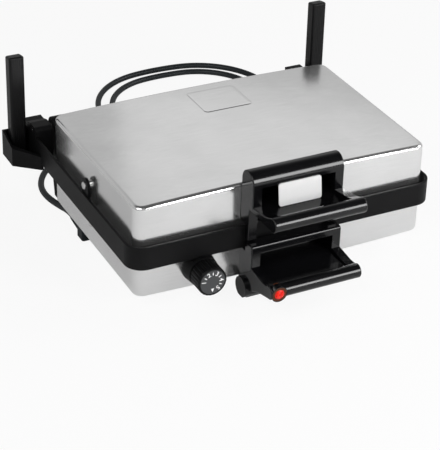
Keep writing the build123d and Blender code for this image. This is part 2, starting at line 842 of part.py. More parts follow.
def hinge_lug():
    """Block inside a rear corner that turns on the hinge pin, round below so that it swings past the base."""
    low = under_z + pocket_low
    front = hinge_y - lug_front
    over_pin = hinge_z + hinge_pin_radius + lug_top_wall
    turn = lug_front_round
    turn_cut = turn * (1 - math.sqrt(0.5))
    outline = [
        Polyline((front, over_pin - turn), (front, low), (frame_rear_y, low),
                 (frame_rear_y, under_z + lug_rear_top), (hinge_y + lug_step, under_z + lug_rear_top),
                 (hinge_y + lug_front / 2, over_pin), (front + turn, over_pin)),
        ThreePointArc((front + turn, over_pin), (front + turn_cut, over_pin - turn_cut), (front, over_pin - turn)),
    ]
    body = side_solid(make_face(outline), lug_inner, lug_outer)
    swing = hinge_setback - lug_swing_gap
    return body & rod((lug_inner - 1, hinge_y, hinge_z), (1, 0, 0), swing, lug_reach + 2)


def pivot_ear():
    """Ear inside the band that carries a side pivot of the lid."""
    inner = band_inner - pivot_ear_thickness
    low = under_z + band_low + pivot_ear_inset
    body = rod((inner, pivot_y, pivot_z), (1, 0, 0), pivot_ear_radius, pivot_ear_thickness)
    return body + block(inner, band_inner, pivot_y - pivot_ear_radius, pivot_y + pivot_ear_radius, low, pivot_z)


def lever_frame():
    """One moulding: the band, two corner pockets, two hinge lugs and two pivot ears."""
    side = pocket() + hinge_lug() + pivot_ear()
    wall_low = under_z + pocket_low
    side += block(band_inner, band_outer, rear_y + pocket_start, frame_rear_y, wall_low, under_z + band_low)
    body = band() + side + mirror_x(side)
    bore = hinge_pin_radius + hinge_running_clearance
    for x in (-1, 1):
        body -= rod((x * (lug_inner - 1), hinge_y, hinge_z), (x, 0, 0), bore, lug_reach + 2)
        body -= rod((x * (band_inner - pivot_ear_thickness - 1), pivot_y, pivot_z), (x, 0, 0),
                    pivot_radius + pivot_clearance, pivot_ear_thickness + 1)
        body -= rod((x * post_x, post_y, wall_low - 1), (0, 0, 1), screw_radius, pocket_floor + 2)
    return body


def post(side):
    """Upright post in a corner pocket; its tip follows a circle round the hinge."""
    low = under_z + pocket_low + pocket_floor
    x = side * post_x
    high = hinge_z + post_tip_radius
    body = block(x - post_width / 2, x + post_width / 2, post_y - post_depth / 2, post_y + post_depth / 2,
                 low, high)
    body = fillet(body.edges().filter_by(Axis.Z), post_edge_radius)
    body &= rod((x - post_width, hinge_y, hinge_z), (1, 0, 0), post_tip_radius, 2 * post_width)
    body = fillet(body.faces().sort_by(Axis.Z)[-1].edges(), post_tip_round)
    return body - rod((x, post_y, low - 1), (0, 0, 1), screw_radius, screw_grip + 1)


def post_screws():
    """Screws that hold the posts from below the pocket floors."""
    screws = []
    z = under_z + pocket_low
    for side in (-1, 1):
        shank = rod((side * post_x, post_y, z), (0, 0, 1), screw_radius, pocket_floor + screw_grip)
        head = rod((side * post_x, post_y, z - screw_head_thickness), (0, 0, 1), screw_head_radius,
                   screw_head_thickness)
        screws.append(head + shank)
    return screws


# Rear hinge
def bracket_outline():
    """Side view of a rear bracket: foot, wall flange and a round head about the hinge axis."""
    radius = bracket_head_radius
    top = (rear_y, under_z + bracket_top)
    away = math.dist(top, (hinge_y, hinge_z))
    back = math.atan2(top[1] - hinge_z, top[0] - hinge_y) % (2 * math.pi)
    touch = back - math.acos(radius / away)
    head_start = (hinge_y + radius * math.cos(touch), hinge_z + radius * math.sin(touch))
    head_top = (hinge_y, hinge_z + radius)
    head_end = (hinge_y + radius, hinge_z)
    foot_rear = rear_y + bracket_foot_length
    return [
        Line((rear_y, under_z + bracket_bottom), top),
        Line(top, head_start),
        ThreePointArc(head_start, head_top, head_end),
        Line(head_end, (hinge_y + radius, hinge_z - radius)),
        Line((hinge_y + radius, hinge_z - radius), (foot_rear, foot_pad_seat)),
        Line((foot_rear, foot_pad_seat), (rear_y + bracket_foot_front, foot_pad_seat)),
        Line((rear_y + bracket_foot_front, foot_pad_seat), (rear_y, under_z + bracket_bottom)),
    ]


def rear_bracket(side):
    """Bracket on the rear wall of the base: rear foot and hinge carrier in one."""
    body = side_solid(make_face(bracket_outline()), bracket_inner, bracket_outer)
    body = fillet(body.faces().sort_by(Axis.X)[-1].edges(), bracket_edge_radius)
    body = fillet(body.faces().sort_by(Axis.X)[0].edges(), bracket_edge_radius)
    body -= hinge_pin(1)
    body -= rear_pad(1)
    places = [place for place in bracket_screw_places() if place[0] > 0]
    body -= screw_shanks(places, -1)
    return body if side > 0 else mirror_x(body)


def hinge_pin(side):
    """Steel pin fixed in a bracket, on which a lug of the lever frame turns."""
    start = bracket_inner + bracket_pin_margin
    length = lug_outer - hinge_pin_end_gap - start
    return rod((side * start, hinge_y, hinge_z), (side, 0, 0), hinge_pin_radius, length)


def rear_pad(side):
    """Rubber pad let into the foot of a bracket."""
    x = side * (bracket_inner + bracket_outer) / 2
    y = rear_y + (bracket_foot_front + bracket_foot_length) / 2
    body = block(x - rear_pad_width / 2, x + rear_pad_width / 2, y - rear_pad_length / 2,
                 y + rear_pad_length / 2, 0, foot_pad_seat + foot_pad_thickness)
    return fillet(body.edges().filter_by(Axis.Z), 2)


# Side pivots
def pivot_screws():
    """Shouldered screws on which the lid tilts in the ears of the lever frame."""
    ear = band_inner - pivot_ear_thickness
    screws = []
    for side in (-1, 1):
        body = rod((side * half_width, pivot_y, pivot_z), (side, 0, 0), pivot_shoulder_radius,
                   ear - pivot_side_play - half_width)
        shank_end = band_inner + pivot_side_play
        body += rod((side * (half_width - shell_wall - pivot_nut_thickness), pivot_y, pivot_z), (side, 0, 0),
                    pivot_radius, shank_end - half_width + shell_wall + pivot_nut_thickness)
        head = rod((side * shank_end, pivot_y, pivot_z), (side, 0, 0), pivot_head_radius, pivot_head_thickness)
        rim = head.edges().filter_by(GeomType.CIRCLE).sort_by(Axis.X)[-1 if side > 0 else 0]
        screws.append(body + chamfer(rim, pivot_head_thickness / 3))
    return screws


def pivot_nuts():
    """Nuts of the pivot screws inside the lid."""
    nuts = []
    for side in (-1, 1):
        start = Plane(origin=(side * (half_width - shell_wall), pivot_y, pivot_z), z_dir=(-side, 0, 0))
        body = extrude(start * RegularPolygon(pivot_nut_radius, 6), pivot_nut_thickness)
        nuts.append(body - rod(start.origin - Vector(side * 6, 0, 0), (side, 0, 0), pivot_radius, 8))
    return nuts


def base_side_plugs():
    """Round-headed plugs in the side holes of the lower pressing."""
    plugs = []
    for side in (-1, 1):
        x = side * half_width
        head = rod((x, pivot_y, side_plug_z), (side, 0, 0), side_plug_radius, side_plug_head)
        rim = head.edges().filter_by(GeomType.CIRCLE).sort_by(Axis.X)[-1 if side > 0 else 0]
        head = chamfer(rim, side_plug_head / 2)
        plugs.append(head + rod((x, pivot_y, side_plug_z), (-side, 0, 0), side_plug_shank, 4))
    return plugs


# Mains cord
def strain_relief():
    """Gland block under the base with a tapered, grooved sleeve that the cord leaves."""
    block_rear = gland_y + gland_length / 2
    body = block(gland_x - gland_width / 2, gland_x + gland_width / 2, gland_y - gland_length / 2,
                 block_rear, gland_low, under_z + 2)
    body = fillet(body.edges().filter_by(Axis.Z), 3)
    body -= arched_block(0, shell_edge_radius)
    start = Plane(origin=(gland_x, block_rear, sleeve_axis_height), z_dir=(0, 1, 0))
    end = Plane(origin=(gland_x, block_rear + sleeve_length, sleeve_axis_height), z_dir=(0, 1, 0))
    sleeve = loft([start * Circle(sleeve_root_radius), end * Circle(sleeve_tip_radius)], ruled=True)
    for index in range(sleeve_grooves):
        y = block_rear + sleeve_length * (index + 1) / (sleeve_grooves + 1)
        ring = rod((gland_x, y - 1, sleeve_axis_height), (0, 1, 0), sleeve_root_radius + 1, 2)
        sleeve -= ring - rod((gland_x, y - 1, sleeve_axis_height), (0, 1, 0), cord_diameter / 2 + 0.3, 2)
    return body + sleeve


def on_floor(x, from_front):
    """A point of the cord's centre line where the cord lies on the table."""
    return (x, front_y + from_front, cord_diameter / 2)


def tube(points):
    """Cord solid along a hand-chosen route, with the largest arc at each corner; prints the radii."""
    radii = []
    for before, corner, after in zip(points, points[1:], points[2:]):
        first = Vector(*corner) - Vector(*before)
        second = Vector(*after) - Vector(*corner)
        half_turn = math.radians(first.get_angle(second)) / 2
        radii.append(0.45 * min(first.length, second.length) / math.tan(half_turn))
    route = FilletPolyline(points, radius=radii)
    print("cord stretch", round(route.length, 1), "mm, radii", [round(value) for value in radii])
    start = Plane(origin=route @ 0, z_dir=route % 0)
    return sweep(start * Circle(cord_diameter / 2), path=route)


def lead_points():
    """The cord from the sleeve round the rear left corner to the start of the coil."""
    start_y = gland_y + gland_length / 2 + sleeve_length
    return [
        (gland_x, start_y, sleeve_axis_height),
        (gland_x, start_y + 16, sleeve_axis_height),
        (gland_x - 2.5, start_y + 38, cord_diameter / 2 + 1.2),
        on_floor(-194, 294),
        on_floor(-196, 316),
        on_floor(-192, 338),
        on_floor(-180, 362),
        on_floor(-160, 384),
        on_floor(-133, 399),
        on_floor(-98, 406),
        on_floor(-62, 420),
        on_floor(coil_left, 454),
        on_floor(coil_left, coil_start),
    ]


def coil_route():
    """Two loose turns seen from above, clockwise: quarter arcs of falling radius and short straights."""
    edges = []
    x, y = coil_left, front_y + coil_start
    heading = math.pi / 2
    z = cord_diameter / 2
    for radius, straight in coil_quarters:
        middle_x = x + radius * math.cos(heading - math.pi / 2)
        middle_y = y + radius * math.sin(heading - math.pi / 2)
        half = heading + math.pi / 4
        end = heading
        mid_point = (middle_x + radius * math.cos(half), middle_y + radius * math.sin(half), z)
        end_point = (middle_x + radius * math.cos(end), middle_y + radius * math.sin(end), z)
        edges.append(ThreePointArc((x, y, z), mid_point, end_point))
        x, y = end_point[0], end_point[1]
        heading -= math.pi / 2
        if straight:
            next_x = x + straight * math.cos(heading)
            next_y = y + straight * math.sin(heading)
            edges.append(Line((x, y, z), (next_x, next_y, z)))
            x, y = next_x, next_y
    return Wire(edges), (x, y, z)


def coil():
    """The coil as one tube; prints its length and the least gap between its turns."""
    route, _ = coil_route()
    count = 240
    points = [route.position_at(index / count) for index in range(count + 1)]
    apart = route.length / count
    least = min((a - b).length for i, a in enumerate(points) for b in points[i + int(150 / apart):])
    print("coil", round(route.length, 1), "mm, least gap to itself", round(least - cord_diameter, 2), "mm")
    start = Plane(origin=route @ 0, z_dir=route % 0)
    return sweep(start * Circle(cord_diameter / 2), path=route)


def tail_points():
    """The last stretch, from the coil up to the plug that lies inside it."""
    _, (x, y, z) = coil_route()
    return [(x, y, z), (x - 21, y, z), (x - 61, y, plug_radius), (x - tail_length, y, plug_radius)]


def plug_plane():
    """Plane across the plug's axis where the cord enters it."""
    x, y, z = tail_points()[-1]
    return Plane(origin=(x, y, z), x_dir=(0, 1, 0), z_dir=(-1, 0, 0))


def power_plug():
    """Round two-pin plug lying on the table: neck, tapered body and flat face."""
    plane = plug_plane()
    neck = plug_neck_radius
    body_end = plug_body_length
    face_end = plug_body_length + plug_face_length
    profile = Polyline((0, 0), (neck, 0), (neck + 1, 16), (plug_radius - 5, 26), (plug_radius - 3, body_end),
                       (plug_radius, body_end + 1), (plug_radius, face_end - 1), (plug_radius - 1, face_end),
                       (0, face_end), close=True)
    body = revolve(Plane.XZ * make_face(profile), Axis.Z)
    body = plane.location * body
    for pin in plug_pins():
        body -= pin
    return body


def plug_pins():
    """Two round pins set into the face of the plug."""
    x, y, z = tail_points()[-1]
    start = x - plug_body_length - plug_face_length + plug_pin_seat
    pins = []
    for side in (-1, 1):
        pin = rod((start, y + side * plug_pin_spacing / 2, z), (-1, 0, 0), plug_pin_radius,
                  plug_pin_length + plug_pin_seat)
        tip = pin.edges().filter_by(GeomType.CIRCLE).sort_by(Axis.X)[0]
        pins.append(chamfer(tip, plug_pin_radius * 0.4))
    return pins


def upper(pieces):
    """The lid's copies of pieces of the base."""
    return [turn_over(piece) for piece in pieces]


pieces = {
    "base_shell": base_shell(),
    "lower_reflector": reflector(),
    "lower_grill_plate": grill_plate(),
    "lower_element": element(),
    "lower_element_straps": element_straps(),
    "lower_pillars": pillars(),
    "thermostat": thermostat(),
    "knob_collar": knob_collar(),
    "lower_handle": lower_handle(),
    "lower_handle_screws": pan_screws(lower_handle_screw_places(), 1),
    "lamp_bezel": lamp_bezel(),
    "lamp_lens": lamp_lens(),
    "indicator_lamp": indicator_lamp(),
    "front_foot_pads": front_foot_pads(),
    "rear_bracket_left": rear_bracket(-1),
    "rear_bracket_right": rear_bracket(1),
    "bracket_screws": pan_screws(bracket_screw_places(), -1),
    "hinge_pins": [hinge_pin(-1), hinge_pin(1)],
    "rear_foot_pads": [rear_pad(-1), rear_pad(1)],
    "base_side_plugs": base_side_plugs(),
    "strain_relief": strain_relief(),
    "power_cord_lead": tube(lead_points()),
    "power_cord_coil": coil(),
    "power_cord_tail": tube(tail_points()),
    "power_plug": power_plug(),
    "plug_pins": plug_pins(),
    "lever_frame": lever_frame(),
    "left_post": post(-1),
    "right_post": post(1),
    "post_screws": post_screws(),
    "lid_shell": lid_shell(),
    "upper_reflector": turn_over(reflector()),
    "upper_grill_plate": turn_over(grill_plate()),
    "upper_element": turn_over(element()),
    "upper_element_straps": upper(element_straps()),
    "upper_pillars": upper(pillars()),
    "upper_handle": upper_handle(),
    "upper_handle_screws": pan_screws(upper_handle_screw_places(), 1),
    "badge_plate": badge_plate(),
    "pivot_screws": pivot_screws(),
    "pivot_nuts": pivot_nuts(),
    "thermostat_knob": thermostat_knob(),
    "knob_dial": knob_dial(),
    "thermostat_shaft": thermostat_shaft(),
}

os.makedirs("parts", exist_ok=True)
for name, piece in pieces.items():
    solids = piece if isinstance(piece, list) else [piece]
    found = [solid for shape in solids for solid in shape.solids()]
    whole = found[0] if len(found) == 1 else Compound(children=found)
    export_step(whole, f"parts/{name}.step")
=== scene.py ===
"""Dresses a contact grill: satin steel housings, black lever frame and grips, knob, lamp and mains cord."""
import math

import bpy
import numpy as np
from bpy.props import FloatProperty, FloatVectorProperty, IntProperty, PointerProperty
from mathutils import Matrix, Vector


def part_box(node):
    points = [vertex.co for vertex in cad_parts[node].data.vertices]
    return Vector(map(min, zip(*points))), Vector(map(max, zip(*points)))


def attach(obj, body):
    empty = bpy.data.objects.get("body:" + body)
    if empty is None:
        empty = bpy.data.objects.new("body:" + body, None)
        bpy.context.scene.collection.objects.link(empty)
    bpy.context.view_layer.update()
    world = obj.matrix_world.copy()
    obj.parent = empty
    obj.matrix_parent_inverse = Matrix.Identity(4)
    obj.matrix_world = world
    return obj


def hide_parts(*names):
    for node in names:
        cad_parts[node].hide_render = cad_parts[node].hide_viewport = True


bl_info = {
    "name": "Contact grill dressing",
    "version": (1, 0, 0),
    "blender": (4, 5, 0),
    "location": "3D View > Sidebar > Grill",
    "description": "Finishes and fine pieces for a contact grill with a swing-over lid",
    "category": "Object",
}

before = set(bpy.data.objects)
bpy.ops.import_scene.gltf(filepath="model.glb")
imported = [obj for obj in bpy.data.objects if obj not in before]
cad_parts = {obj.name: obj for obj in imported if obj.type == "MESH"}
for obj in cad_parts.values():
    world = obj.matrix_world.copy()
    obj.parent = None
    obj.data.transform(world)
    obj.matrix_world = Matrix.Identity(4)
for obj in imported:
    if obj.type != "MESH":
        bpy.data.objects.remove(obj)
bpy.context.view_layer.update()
MM = 0.001

# Pressings and panel
WALL_HEIGHT = 61.5 * MM
SUPPORT = 0.4 * MM
EDGE_STEPS = 13
FACE_RINGS = 16
FIRST_RING = 0.004
PANEL_HALF = (35.0 * MM, 31.0 * MM)
PANEL_CORNER = 6.0 * MM
PANEL_PLACE = (15.0 * MM, 86.75 * MM)
PANEL_SLOPE = 1.6 * MM
PANEL_CLIMB_ROWS = 7
PANEL_RINGS = 9

# Dial print, clockwise from the left over the top to the lower right
FIRST_NUMBER_ANGLE = 172.0
LAST_NUMBER_ANGLE = -52.0
TEXT_SIZE_PER_HEIGHT = 1.4
STROKE_OFFSET = 0.12 * MM
NUMBER_LIFT = 0.06 * MM
MARK_LIFT = 0.05 * MM
BAR_HALF = (1.9 * MM, 0.6 * MM)
POINTER_HALF_WIDTH = 2.2 * MM
POINTER_INWARD = 2.4 * MM
POINTER_OUTWARD = 2.6 * MM

# Repeats in a metre of the grain of steel and plastics, and how far the steel's lines are drawn out
GRAIN = 2600.0
LINE_STRETCH = 90.0

# Lamps: place, point faced, width and height, and the setting that holds the power
LAMPS = (
    ("front_light", (0.84, -1.72, 0.74), (0.0, -0.15, 0.12), (0.8, 0.8), "front_power"),
    ("right_light", (1.9, -0.6, 1.3), (0.0, 0.0, 0.1), (1.0, 1.0), "right_power"),
    ("left_light", (-1.5, -1.0, 1.6), (0.0, 0.0, 0.1), (1.6, 1.2), "left_power"),
    ("top_light", (0.44, 0.70, 0.66), (0.0, -0.1, 0.15), (0.6, 0.3), "top_power"),
)

# Studio by direction: where the backdrop, the dark gap and the dim overhead start and end
BACKDROP_EDGE = (-0.15, 0.45)
GAP_MIDDLE = 0.42
GAP_EDGE = (0.12, 0.36)
OVERHEAD_EDGE = (0.5, 0.9)
FLOOR_REACH = 6.0
FLOOR_COLOR = (0.84, 0.84, 0.84)
WHITE = (1.0, 1.0, 1.0)


# Settings
class HousingSettings(bpy.types.PropertyGroup):
    corner_radius: FloatProperty(
        name="Corner radius", description="Radius of the upright corners of the pressings",
        default=13.0 * MM, unit="LENGTH")
    edge_radius: FloatProperty(
        name="Edge radius", description="Radius between a wall and the crowned face",
        default=5.0 * MM, unit="LENGTH")
    crown: FloatProperty(
        name="Crown", description="Rise of the face half way across its width",
        default=3.5 * MM, unit="LENGTH")
    wall: FloatProperty(
        name="Sheet thickness", description="Thickness of the pressed sheet",
        default=1.2 * MM, unit="LENGTH")
    panel_height: FloatProperty(
        name="Panel height", description="Rise of the plain raised panel on the lid",
        default=0.55 * MM, unit="LENGTH")
    steel: FloatVectorProperty(
        name="Steel colour", description="Colour of the satin sheet", subtype="COLOR", size=3,
        default=(0.84, 0.84, 0.84), min=0.0, max=1.0)
    steel_roughness: FloatProperty(
        name="Steel roughness", description="Softness of reflections in the sheet",
        default=0.17, min=0.0, max=1.0, subtype="FACTOR")


class PlasticSettings(bpy.types.PropertyGroup):
    grip_black: FloatVectorProperty(
        name="Grip colour", description="Colour of the polished grips", subtype="COLOR", size=3,
        default=(0.003, 0.003, 0.0035), min=0.0, max=1.0)
    grip_roughness: FloatProperty(
        name="Grip roughness", description="Softness of highlights on the grips",
        default=0.17, min=0.0, max=1.0, subtype="FACTOR")
    band_black: FloatVectorProperty(
        name="Band colour", description="Colour of the lever frame", subtype="COLOR", size=3,
        default=(0.0035, 0.0035, 0.0038), min=0.0, max=1.0)
    band_roughness: FloatProperty(
        name="Band roughness", description="Softness of highlights on the lever frame",
        default=0.48, min=0.0, max=1.0, subtype="FACTOR")
    post_rib_pitch: FloatProperty(
        name="Rib pitch", description="Distance between the fine upright ribs of the posts",
        default=2.6 * MM, unit="LENGTH")


class DialSettings(bpy.types.PropertyGroup):
    disc: FloatVectorProperty(
        name="Disc colour", description="Colour of the dial's disc", subtype="COLOR", size=3,
        default=(0.04, 0.042, 0.044), min=0.0, max=1.0)
    numbers: IntProperty(
        name="Numbers", description="How many plain numbers stand round the dial",
        default=5, min=2, max=9)
    number_height: FloatProperty(
        name="Number height", description="Height of a number on the dial",
        default=6.0 * MM, unit="LENGTH")
    number_ring: FloatProperty(
        name="Number ring", description="Distance of a number's middle from the dial's axis",
        default=11.4 * MM, unit="LENGTH")


class CordSettings(bpy.types.PropertyGroup):
    diameter: FloatProperty(
        name="Cord diameter", description="Diameter of the sheathed cord",
        default=8.5 * MM, unit="LENGTH")
    sheath: FloatVectorProperty(
        name="Sheath colour", description="Colour of the cord's sheath", subtype="COLOR", size=3,
        default=(0.010, 0.013, 0.015), min=0.0, max=1.0)


class StageSettings(bpy.types.PropertyGroup):
    camera_place: FloatVectorProperty(
        name="Camera place", description="Where the camera stands", subtype="TRANSLATION", size=3,
        default=(-0.88203, -1.66522, 1.12948))
    camera_turn: FloatProperty(
        name="Camera turn", description="Turn of the camera about the upright",
        default=-0.4748, subtype="ANGLE")
    camera_tilt: FloatProperty(
        name="Camera tilt", description="Angle between the view and straight down",
        default=1.0773, subtype="ANGLE")
    camera_roll: FloatProperty(
        name="Camera roll", description="Roll of the camera about its view",
        default=0.0285, subtype="ANGLE")
    focal_pixels: FloatProperty(
        name="Focal length in pixels", description="Focal length measured in the photograph's pixels",
        default=1672.62, min=1.0)
    axis_row: FloatProperty(
        name="Axis row", description="Pixel row that the camera's axis passes through",
        default=152.0)
    photo_height: IntProperty(
        name="Photo height", description="Height of the photograph in pixels", default=450, min=1)
    front_power: FloatProperty(
        name="Front light", description="Power of the low soft box at the front right", default=25.0,
        unit="POWER")
    right_power: FloatProperty(
        name="Right light", description="Power of the soft box at the right", default=16.0, unit="POWER")
    left_power: FloatProperty(
        name="Left light", description="Power of the large soft box beside the camera", default=19.0,
        unit="POWER")
    top_power: FloatProperty(
        name="Top light", description="Power of the weak soft box above the rear", default=0.13, unit="POWER")
    back_strength: FloatProperty(
        name="Backdrop strength", description="Strength of the pale backdrop behind the grill", default=0.3,
        min=0.0)
    mirrored_white: FloatProperty(
        name="Mirrored white", description="Share of the white background that metal shows in the backdrop",
        default=0.25, min=0.0, max=1.0, subtype="FACTOR")
    floor_seen: FloatProperty(
        name="Floor seen white", description="Share of plain white that the camera sees in the floor",
        default=0.9, min=0.0, max=1.0, subtype="FACTOR")
    floor_mirrored: FloatProperty(
        name="Floor mirrored white", description="Share of plain white that metal mirrors from the floor",
        default=0.12, min=0.0, max=1.0, subtype="FACTOR")
    floor_drop: FloatProperty(
        name="Floor drop", description="Gap between the feet and the floor", default=0.2 * MM, unit="LENGTH")
    room_strength: FloatProperty(
        name="Room strength",
        description="Strength of the dim room overhead and in the gap at the front right",
        default=0.06, min=0.0)
    wall_strength: FloatProperty(
        name="Wall strength", description="Strength of the grey walls in front of the grill", default=0.42,
        min=0.0)


# Shader expressions
class Value:
    """A shader socket that can be used in Python arithmetic; each operation adds one Math node."""

    def __init__(self, paint, socket):
        self.paint = paint
        self.socket = socket

    def _math(self, operation, *values, clamp=False):
        node = self.paint.node("ShaderNodeMath", {"operation": operation, "use_clamp": clamp},
                               dict(enumerate(values)))
        return Value(self.paint, node.outputs[0])

    def __add__(self, other):
        return self._math("ADD", self, other)

    def __sub__(self, other):
        return self._math("SUBTRACT", self, other)

    def __mul__(self, other):
        return self._math("MULTIPLY", self, other)

    def __rsub__(self, other):
        return self._math("SUBTRACT", other, self)

    __radd__ = __add__
    __rmul__ = __mul__

    def clamp(self):
        return self._math("ADD", self, 0.0, clamp=True)

    def maximum(self, other):
        return self._math("MAXIMUM", self, other)

    def absolute(self):
        return self._math("ABSOLUTE", self)

    def sine(self):
        return self._math("SINE", self)

    def smoothstep(self, low, high):
        """0 below low, 1 above high, and an even S-curve between them."""
        node = self.paint.node(
            "ShaderNodeMapRange", {"interpolation_type": "SMOOTHSTEP"},
            {"Value": self, "From Min": low, "From Max": high, "To Min": 0.0, "To Max": 1.0})
        return Value(self.paint, node.outputs["Result"])


class Paint:
    """Builds one node material; sockets are numbers, colours, node outputs or Values."""

    def __init__(self, name):
        self.material = bpy.data.materials.new(name)
        self.material.use_nodes = True
        self.take(self.material.node_tree, "ShaderNodeOutputMaterial")

    @classmethod
    def over(cls, tree, output):
        """A paint for a tree that already exists, such as the world's."""
        paint = cls.__new__(cls)
        paint.take(tree, output)
        return paint

    def take(self, tree, output):
        self.tree = tree
        self.tree.nodes.clear()
        self.output = self.tree.nodes.new(output)

    def node(self, kind, settings=None, inputs=None):
        made = self.tree.nodes.new(kind)
        for key, value in (settings or {}).items():
            setattr(made, key, value)
        for key, value in (inputs or {}).items():
            self.feed(made.inputs[key], value)
        return made

    def feed(self, socket, value):
        if isinstance(value, Value):
            value = value.socket
        if isinstance(value, bpy.types.NodeSocket):
            self.tree.links.new(value, socket)
        elif socket.type == "RGBA" and len(value) == 3:
            socket.default_value = (*value, 1.0)
        else:
            socket.default_value = value

    def place(self, scale=(1.0, 1.0, 1.0)):
        """Object coordinates in metres, times a scale along each axis."""
        coordinates = self.node("ShaderNodeTexCoord")
        mapping = self.node("ShaderNodeMapping", {"vector_type": "POINT"},
                            {"Vector": coordinates.outputs["Object"], "Scale": scale})
        return mapping.outputs["Vector"]

    def noise(self, scale, vector=None, detail=2.0):
        vector = self.place() if vector is None else vector
        made = self.node("ShaderNodeTexNoise", None, {"Vector": vector, "Scale": scale, "Detail": detail})
        return Value(self, made.outputs["Fac"])

    def axis(self, index):
        """One coordinate of the object's own space, in metres."""
        return self.axis_of("Object", index)

    def axis_of(self, space, index):
        """One coordinate of a named coordinate output."""
        coordinates = self.node("ShaderNodeTexCoord")
        split = self.node("ShaderNodeSeparateXYZ", None, {0: coordinates.outputs[space]})
        return Value(self, split.outputs[index])

    def blend(self, factor, first, second):
        """A colour between two colours."""
        made = self.node("ShaderNodeMix", {"data_type": "RGBA"}, {"Factor": factor})
        self.feed(made.inputs[6], first)
        self.feed(made.inputs[7], second)
        return made.outputs[2]

    def bump(self, height, strength, distance):
        made = self.node("ShaderNodeBump", None,
                         {"Height": height, "Strength": strength, "Distance": distance})
        return made.outputs["Normal"]

    def surface(self, **sockets):
        """A Principled surface; underscores in names stand for spaces."""
        shader = self.node("ShaderNodeBsdfPrincipled")
        for key, value in sockets.items():
            self.feed(shader.inputs[key.replace("_", " ")], value)
        self.tree.links.new(shader.outputs[0], self.output.inputs["Surface"])
        return self.material


def shade(color, factor):
    """A colour made lighter or darker by a factor."""
    return tuple(min(1.0, channel * factor) for channel in color)


# Materials
def satin_steel(name, color, roughness):
    """Brushed sheet: fine lines along the width in the relief and the roughness, faintly uneven in tone."""
    paint = Paint(name)
    lines = paint.noise(GRAIN, paint.place((1 / LINE_STRETCH, 1.0, 1.0)), detail=2.0)
    broad = paint.noise(14.0)
    mixed = (lines * 0.6 + broad * 0.4).smoothstep(0.3, 0.7)
    tone = paint.blend(mixed, shade(color, 0.93), shade(color, 1.06))
    return paint.surface(
        Base_Color=tone, Metallic=0.95, IOR=1.5,
        Roughness=(roughness - 0.03 + lines * 0.04 + broad * 0.02).clamp(),
        Normal=paint.bump(lines, 0.4, 0.00003))


def turned_metal(name, color, roughness):
    """Bright turned or plated metal, finely uneven in tone and roughness."""
    paint = Paint(name)
    fine = paint.noise(1400.0, detail=2.0)
    return paint.surface(
        Base_Color=paint.blend(fine, shade(color, 0.86), color), Metallic=1.0,
        Roughness=(roughness + fine * 0.08).clamp())


def moulded_black(name, color, roughness, grain=0.0, specular=0.13):
    """Moulded plastic: a fine stipple in the relief and a slight change of tone over the piece."""
    paint = Paint(name)
    stipple = paint.noise(GRAIN, detail=1.0)
    broad = paint.noise(22.0, detail=3.0)
    return paint.surface(
        Base_Color=paint.blend(broad.smoothstep(0.3, 0.75), color, shade(color, 1.35)),
        Roughness=(roughness + (broad - 0.5) * 0.08).clamp(), Specular_IOR_Level=specular,
        Normal=paint.bump(stipple, grain, 0.00008))


def ribbed_black(name, color, roughness, pitch):
    """Moulded plastic with fine upright ribs, raised by a sine of the distance across the width."""
    paint = Paint(name)
    across = (paint.axis(0) * (2 * math.pi / pitch)).sine()
    stipple = paint.noise(GRAIN, detail=1.0)
    return paint.surface(
        Base_Color=paint.blend(stipple, color, shade(color, 1.3)),
        Roughness=(roughness + stipple * 0.04).clamp(), Specular_IOR_Level=0.2,
        Normal=paint.bump(across + stipple * 0.3, 0.35, 0.0002))


def non_stick(name):
    """Dark coated casting: fine speckle over a slightly uneven cast skin."""
    paint = Paint(name)
    speckle = paint.noise(3200.0, detail=1.0).smoothstep(0.62, 0.72)
    skin = paint.noise(420.0, detail=3.0)
    return paint.surface(
        Base_Color=paint.blend(speckle * 0.5, (0.022, 0.022, 0.024), (0.07, 0.07, 0.074)),
        Roughness=(0.42 + skin * 0.16).clamp(), Specular_IOR_Level=0.45,
        Normal=paint.bump(skin, 0.25, 0.0002))


def rubber_skin(name, color):
    """Soft rubber with a dull, faintly dusty surface."""
    paint = Paint(name)
    dust = paint.noise(380.0, detail=4.0)
    return paint.surface(
        Base_Color=paint.blend(dust.smoothstep(0.45, 0.8), color, shade(color, 1.7)),
        Roughness=(0.62 + dust * 0.2).clamp(), Normal=paint.bump(dust, 0.15, 0.0002))


def cord_sheath(name, color):
    """Smooth extruded sheath: finely uneven in tone, with a faint relief and a slight gloss."""
    paint = Paint(name)
    fine = paint.noise(1800.0, detail=2.0)
    return paint.surface(
        Base_Color=paint.blend(fine.smoothstep(0.35, 0.7), color, shade(color, 1.5)),
        Roughness=(0.36 + fine * 0.1).clamp(), Specular_IOR_Level=0.3,
        Normal=paint.bump(fine, 0.08, 0.00008))


def lens_red(name):
    """Red lamp lens: an uneven deep red with a faint glow of its own."""
    paint = Paint(name)
    wave = paint.noise(420.0, detail=2.0)
    tone = paint.blend(wave.smoothstep(0.3, 0.7), (0.40, 0.003, 0.003), (0.80, 0.02, 0.008))
    return paint.surface(
        Base_Color=tone, Roughness=0.3, Emission_Color=tone, Emission_Strength=0.22, Specular_IOR_Level=0.25)


def amber_bezel(name):
    """Dark amber moulding round the lamp, lighter in patches."""
    paint = Paint(name)
    patches = paint.noise(240.0, detail=2.0)
    return paint.surface(
        Base_Color=paint.blend(patches, (0.035, 0.008, 0.003), (0.12, 0.03, 0.006)),
        Roughness=0.35, Specular_IOR_Level=0.25)


def plain_print(name, color, roughness=0.45):
    """Flat print or plain moulding in one colour, with a barely uneven film."""
    paint = Paint(name)
    film = paint.noise(700.0, detail=2.0)
    return paint.surface(
        Base_Color=paint.blend(film, shade(color, 0.95), color),
        Roughness=(roughness + film * 0.08).clamp())


